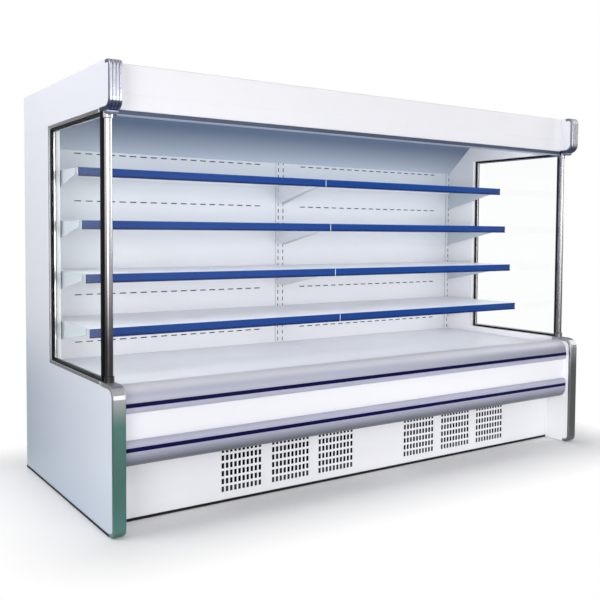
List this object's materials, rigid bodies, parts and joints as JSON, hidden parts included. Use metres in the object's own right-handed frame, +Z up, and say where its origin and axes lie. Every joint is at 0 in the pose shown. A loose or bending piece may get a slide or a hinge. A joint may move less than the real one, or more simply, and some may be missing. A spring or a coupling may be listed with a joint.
{
  "type": "open multideck display fridge",
  "caption": "Open-front multideck display fridge: tiered shelves with price strips, glass end windows, slotted deck grille, night blind, rounded front bumpers and a vented kick panel.",
  "frame": {"origin": "middle of the footprint, on the floor under the levelling feet", "axes": "X along the front from the left end wall to the right one as seen from the front, Y from the front to the rear, Z up; the open front faces -Y"},
  "size_m": [2.6, 1.114, 1.733],
  "materials": {
    "white_panel": "white gloss powder coat, cool lavender cast",
    "liner_white": "white semi-gloss coated sheet",
    "shelf_paint": "white semi-gloss coated sheet",
    "deck_paint": "pale grey semi-gloss coated sheet",
    "blue_strip": "royal blue gloss plastic",
    "bumper_plastic": "grey lavender satin plastic",
    "stainless": "polished stainless tube",
    "bright_metal": "bright fluted moulding",
    "satin_metal": "satin metal moulding",
    "black_rubber": "black rubber section",
    "clear_glass": "clear double glazing",
    "dark_aluminium": "dark slate anodised bar",
    "blind_fabric": "grey woven blind cloth",
    "lamp_diffuser": "opal diffuser",
    "pale_plastic": "pale grey plastic",
    "galvanised_sheet": "galvanised sheet",
    "frame_paint": "dark grey paint",
    "black_steel": "black satin paint",
    "aluminium_fins": "bare aluminium fins",
    "black_plastic": "black moulded plastic"
  },
  "bodies": {
    "cabinet": {"base_frame": "frame_paint", "end_panel_left": "white_panel", "end_panel_right": "white_panel", "base_trim_left": "satin_metal", "base_trim_right": "satin_metal", "canopy_trim_left": "bright_metal", "canopy_trim_right": "bright_metal", "insulated_tub": "white_panel", "insulated_back_wall": "galvanised_sheet", "canopy_roof": "galvanised_sheet", "canopy_fascia": "white_panel", "canopy_duct_liner": "liner_white", "air_outlet_honeycomb": "pale_plastic", "canopy_lamp": "lamp_diffuser", "corner_post_left": "stainless", "corner_post_right": "stainless", "window_gasket_left": "black_rubber", "window_gasket_right": "black_rubber", "window_glass_left": "clear_glass", "window_glass_right": "clear_glass", "shelf_upright_center": "liner_white", "shelf_upright_left": "liner_white", "shelf_upright_right": "liner_white", "inner_back_panel_left": "liner_white", "inner_back_panel_right": "liner_white", "return_air_grille": "deck_paint", "bumper_upper": "bumper_plastic", "bumper_lower": "bumper_plastic", "front_panel": "white_panel", "kick_panel": "white_panel", "compressor": "black_steel", "condenser_coil": "frame_paint", "evaporator_coil": "aluminium_fins"},
    "foot_front_left": {"levelling_foot_front_left": "black_plastic"},
    "foot_front_right": {"levelling_foot_front_right": "black_plastic"},
    "foot_rear_left": {"levelling_foot_rear_left": "black_plastic"},
    "foot_rear_right": {"levelling_foot_rear_right": "black_plastic"},
    "shelf_1_left": {"shelf_1_left": "shelf_paint", "price_strip_1_left": "blue_strip"},
    "shelf_1_right": {"shelf_1_right": "shelf_paint", "price_strip_1_right": "blue_strip"},
    "shelf_2_left": {"shelf_2_left": "shelf_paint", "price_strip_2_left": "blue_strip"},
    "shelf_2_right": {"shelf_2_right": "shelf_paint", "price_strip_2_right": "blue_strip"},
    "shelf_3_left": {"shelf_3_left": "shelf_paint", "price_strip_3_left": "blue_strip"},
    "shelf_3_right": {"shelf_3_right": "shelf_paint", "price_strip_3_right": "blue_strip"},
    "shelf_4_left": {"shelf_4_left": "shelf_paint", "price_strip_4_left": "blue_strip"},
    "shelf_4_right": {"shelf_4_right": "shelf_paint", "price_strip_4_right": "blue_strip"},
    "deck_pan_left": {"deck_pan_left": "deck_paint"},
    "deck_pan_right": {"deck_pan_right": "deck_paint"},
    "night_blind": {"night_blind_pull_bar": "dark_aluminium", "night_blind_fabric": "blind_fabric"},
    "blind_roller": {"night_blind_roller": "galvanised_sheet"},
    "condenser_fan": {"condenser_fan": "black_plastic"},
    "evaporator_fan": {"evaporator_fan": "black_plastic"}
  },
  "joints": [
    {"name": "foot_front_left_turn", "type": "hinge", "parent": "cabinet", "child": "foot_front_left", "pos_m": [-1.2247, -0.3697, 0.015], "axis": [0, 0, 1], "continuous": true},
    {"name": "foot_front_right_turn", "type": "hinge", "parent": "cabinet", "child": "foot_front_right", "pos_m": [1.2247, -0.3697, 0.015], "axis": [0, 0, 1], "continuous": true},
    {"name": "foot_rear_left_turn", "type": "hinge", "parent": "cabinet", "child": "foot_rear_left", "pos_m": [-1.2247, 0.5297, 0.015], "axis": [0, 0, 1], "continuous": true},
    {"name": "foot_rear_right_turn", "type": "hinge", "parent": "cabinet", "child": "foot_rear_right", "pos_m": [1.2247, 0.5297, 0.015], "axis": [0, 0, 1], "continuous": true},
    {"name": "shelf_1_left_lift", "type": "hinge", "parent": "cabinet", "child": "shelf_1_left", "pos_m": [-0.625, 0.373, 1.37], "axis": [-1, 0, 0], "range_deg": [0, 15]},
    {"name": "shelf_1_right_lift", "type": "hinge", "parent": "cabinet", "child": "shelf_1_right", "pos_m": [0.625, 0.373, 1.37], "axis": [-1, 0, 0], "range_deg": [0, 15]},
    {"name": "shelf_2_left_lift", "type": "hinge", "parent": "cabinet", "child": "shelf_2_left", "pos_m": [-0.625, 0.373, 1.1516], "axis": [-1, 0, 0], "range_deg": [0, 15]},
    {"name": "shelf_2_right_lift", "type": "hinge", "parent": "cabinet", "child": "shelf_2_right", "pos_m": [0.625, 0.373, 1.1516], "axis": [-1, 0, 0], "range_deg": [0, 15]},
    {"name": "shelf_3_left_lift", "type": "hinge", "parent": "cabinet", "child": "shelf_3_left", "pos_m": [-0.625, 0.373, 0.9332], "axis": [-1, 0, 0], "range_deg": [0, 15]},
    {"name": "shelf_3_right_lift", "type": "hinge", "parent": "cabinet", "child": "shelf_3_right", "pos_m": [0.625, 0.373, 0.9332], "axis": [-1, 0, 0], "range_deg": [0, 15]},
    {"name": "shelf_4_left_lift", "type": "hinge", "parent": "cabinet", "child": "shelf_4_left", "pos_m": [-0.625, 0.373, 0.7148], "axis": [-1, 0, 0], "range_deg": [0, 15]},
    {"name": "shelf_4_right_lift", "type": "hinge", "parent": "cabinet", "child": "shelf_4_right", "pos_m": [0.625, 0.373, 0.7148], "axis": [-1, 0, 0], "range_deg": [0, 15]},
    {"name": "deck_pan_left_lift", "type": "slide", "parent": "cabinet", "child": "deck_pan_left", "axis": [0, 0, 1], "range_m": [0, 0.08]},
    {"name": "deck_pan_right_lift", "type": "slide", "parent": "cabinet", "child": "deck_pan_right", "axis": [0, 0, 1], "range_m": [0, 0.08]},
    {"name": "night_blind_pull", "type": "slide", "parent": "cabinet", "child": "night_blind", "axis": [0, 0, -1], "range_m": [0, 0.99], "stiffness_N_per_m": 6, "springref_m": -1.6, "deforming": ["night_blind_fabric"]},
    {"name": "blind_roller_turn", "type": "hinge", "parent": "cabinet", "child": "blind_roller", "pos_m": [0, -0.4304, 1.612], "axis": [1, 0, 0], "range_deg": [0, 2579]},
    {"name": "condenser_fan_spin", "type": "hinge", "parent": "cabinet", "child": "condenser_fan", "pos_m": [-0.42, -0.256, 0.16015], "axis": [0, 1, 0], "continuous": true},
    {"name": "evaporator_fan_spin", "type": "hinge", "parent": "cabinet", "child": "evaporator_fan", "pos_m": [-0.625, -0.256, 0.415], "axis": [0, 1, 0], "continuous": true}
  ],
  "couplings": [
    {"joint": "blind_roller_turn", "follows": "night_blind_pull", "rad_per_m": 45.455}
  ]
}
